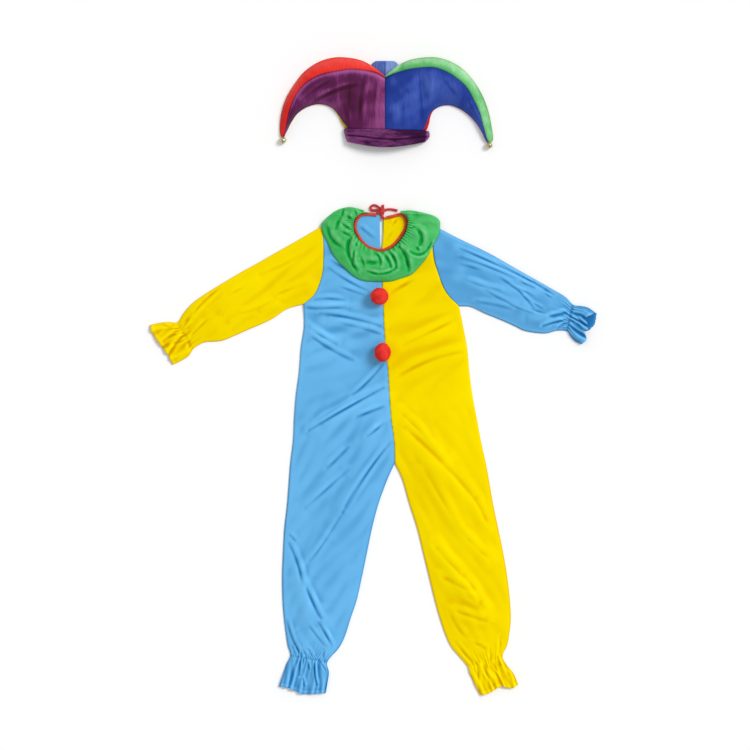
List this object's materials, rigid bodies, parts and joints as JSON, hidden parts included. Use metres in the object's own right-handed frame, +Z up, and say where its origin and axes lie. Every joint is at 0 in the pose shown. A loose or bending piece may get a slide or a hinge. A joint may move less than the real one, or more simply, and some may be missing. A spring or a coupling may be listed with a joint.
{
  "type": "jester costume, jumpsuit and three-point hat laid flat",
  "caption": "Two-colour child's jumpsuit with gathered ruff, pompoms and frilled cuffs, laid flat with its three-point belled hat above it.",
  "frame": {"origin": "on the surface that the costume lies on, under the middle of its bounding box", "axes": "+X to the viewer's right, +Y from the trouser hems to the hat, +Z up from the surface"},
  "size_m": [0.983, 1.402, 0.0421],
  "materials": {
    "sky_blue_knit": "light satin sheen",
    "yellow_knit": "light satin sheen",
    "green_knit": "light satin sheen",
    "red_binding": "woven tape",
    "red_pile": "short dense pile",
    "hat_purple": "velvety sheen",
    "hat_blue": "velvety sheen",
    "hat_red": "velvety sheen",
    "hat_green": "velvety sheen",
    "hat_yellow": "velvety sheen",
    "hat_mid_blue": "velvety sheen",
    "bell_metal": "pale polished plating"
  },
  "bodies": {
    "root": {"front_blue": "sky_blue_knit", "front_yellow": "yellow_knit", "back_blue": "sky_blue_knit", "back_yellow": "yellow_knit", "sleeve_yellow": "yellow_knit", "sleeve_blue": "sky_blue_knit", "ruff": "green_knit", "ruff_back_left": "green_knit", "ruff_back_right": "green_knit", "neck_binding": "red_binding", "tie_lead_left": "red_binding", "tie_loop": "red_binding", "tie_end": "red_binding", "tie_lead_right": "red_binding", "tie_tail": "red_binding", "tie_knot": "red_binding", "pompom_upper": "red_pile", "pompom_lower": "red_pile", "hat_band": "hat_purple", "hat_front_left": "hat_purple", "hat_gusset_left": "hat_red", "hat_back_left": "hat_yellow", "hat_front_right": "hat_blue", "hat_gusset_right": "hat_green", "hat_back_right": "hat_red", "hat_third_point": "hat_mid_blue", "bell_left": "bell_metal", "bell_right": "bell_metal", "bell_back": "bell_metal"}
  },
  "joints": []
}
